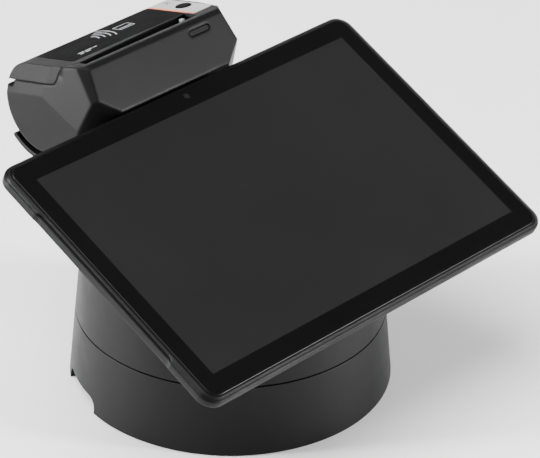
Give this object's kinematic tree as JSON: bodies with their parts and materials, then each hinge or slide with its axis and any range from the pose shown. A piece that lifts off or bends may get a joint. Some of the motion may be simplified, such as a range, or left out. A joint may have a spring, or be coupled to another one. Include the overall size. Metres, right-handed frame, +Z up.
{
  "type": "card payment terminal",
  "caption": "Tilted touch screen with receipt printer and contactless panel, lifting off a swivelling round stand.",
  "frame": {"origin": "middle of the stand's underside, on the counter", "axes": "+Z up out of the counter; the screen faces the user, who stands on the -Y side; +X to the user's right along the screen's long side"},
  "size_m": [0.2469, 0.2181, 0.1745],
  "materials": {
    "stand_plastic": "fine textured black plastic",
    "column_plastic": "fine textured black plastic",
    "housing_plastic": "satin charcoal plastic",
    "cover_plastic": "satin charcoal plastic",
    "gloss_black": "gloss black",
    "screen_glass": "dark cover glass, screen off",
    "screen_panel": "dark display",
    "lens_black": "dark lens",
    "silver_paint": "satin silver",
    "orange_plastic": "orange accent",
    "white_light": "white light window",
    "smoke_light": "smoked light window",
    "steel": "plain steel",
    "zinc": "grey ballast",
    "brass_contact": "gold plated",
    "rubber": "matte rubber",
    "platen_rubber": "ground rubber",
    "nylon": "white nylon",
    "board_green": "green circuit board",
    "paper": "thermal paper",
    "card": "card core",
    "battery_wrap": "dark wrap"
  },
  "bodies": {
    "stand": {"base_shell": "stand_plastic", "base_floor_plate": "stand_plastic", "ballast_plate": "zinc", "rubber_feet": "rubber", "floor_screws": "steel", "swivel_spigot": "steel", "bearing_washer": "nylon", "stop_pin": "steel", "retaining_collar": "steel", "connector_board": "board_green", "power_socket": "gloss_black", "data_socket": "steel"},
    "column": {"column_shell": "column_plastic", "column_floor": "column_plastic", "dock_tray": "column_plastic", "column_screws": "steel", "dock_pads": "rubber", "contact_holder": "nylon", "dock_board": "board_green", "rear_cradle": "column_plastic", "cradle_pad": "rubber"},
    "pin_block": {"contact_pins": "brass_contact"},
    "terminal": {"front_glass": "screen_glass", "front_frame": "housing_plastic", "display_panel": "screen_panel", "front_camera": "lens_black", "rear_shell": "housing_plastic", "rear_screws": "steel", "main_board": "board_green", "shield_cans": "steel", "battery_pack": "battery_wrap", "speakers": "gloss_black", "contact_pads": "brass_contact", "printer_housing": "housing_plastic", "hinge_pin": "steel", "silver_plate": "silver_paint", "orange_trim": "orange_plastic", "release_latch": "nylon", "feed_motor": "steel", "gear_plate": "steel", "print_head": "steel", "head_bracket": "steel", "tear_bar": "steel", "front_light": "smoke_light", "status_light": "white_light", "printer_bracket": "steel"},
    "cover": {"paper_cover": "cover_plastic", "contactless_panel": "gloss_black", "contactless_antenna": "brass_contact"},
    "platen": {"platen_roller": "platen_rubber", "platen_shaft": "steel", "platen_gear": "nylon"},
    "idler": {"idler_gear": "nylon"},
    "pinion": {"motor_gear": "steel"},
    "roll": {"paper_roll": "paper", "paper_core": "card"},
    "release": {"release_button": "gloss_black"},
    "power_key": {"power_button": "housing_plastic"},
    "volume_rocker": {"volume_key": "housing_plastic"}
  },
  "joints": [
    {"name": "swivel", "type": "hinge", "parent": "stand", "child": "column", "pos_m": [0, 0, 0.0395], "axis": [0, 0, 1], "range_deg": [-90, 90]},
    {"name": "terminal_lift", "type": "slide", "parent": "column", "child": "terminal", "axis": [0, -0.4171, 0.9089], "range_m": [0, 0.06]},
    {"name": "contact_spring", "type": "slide", "parent": "column", "child": "pin_block", "axis": [0, -0.4171, 0.9089], "range_m": [-0.0012, 0], "stiffness_N_per_m": 600, "springref_m": 0.0004},
    {"name": "cover_hinge", "type": "hinge", "parent": "terminal", "child": "cover", "pos_m": [0, 0.107, 0.15088], "axis": [-1, 0, 0], "range_deg": [0, 80]},
    {"name": "platen_spin", "type": "hinge", "parent": "cover", "child": "platen", "pos_m": [0, 0.072, 0.16284], "axis": [1, 0, 0], "continuous": true},
    {"name": "idler_spin", "type": "hinge", "parent": "terminal", "child": "idler", "pos_m": [0, 0.05985, 0.15493], "axis": [1, 0, 0], "continuous": true},
    {"name": "motor_spin", "type": "hinge", "parent": "terminal", "child": "pinion", "pos_m": [0, 0.0555, 0.143], "axis": [1, 0, 0], "continuous": true},
    {"name": "roll_spin", "type": "hinge", "parent": "terminal", "child": "roll", "pos_m": [0, 0.0844, 0.1417], "axis": [1, 0, 0], "continuous": true},
    {"name": "release_press", "type": "slide", "parent": "terminal", "child": "release", "axis": [0, -0.2588, -0.9659], "range_m": [0, 0.0015], "stiffness_N_per_m": 500, "springref_m": -0.0004},
    {"name": "power_press", "type": "slide", "parent": "terminal", "child": "power_key", "axis": [-1, 0, 0], "range_m": [0, 0.0005], "stiffness_N_per_m": 1500, "springref_m": -0.0001},
    {"name": "volume_press", "type": "slide", "parent": "terminal", "child": "volume_rocker", "axis": [-1, 0, 0], "range_m": [0, 0.0005], "stiffness_N_per_m": 1500, "springref_m": -0.0001}
  ],
  "couplings": [
    {"joint": "idler_spin", "follows": "platen_spin", "ratio": -0.5},
    {"joint": "motor_spin", "follows": "platen_spin", "ratio": 1.6}
  ]
}
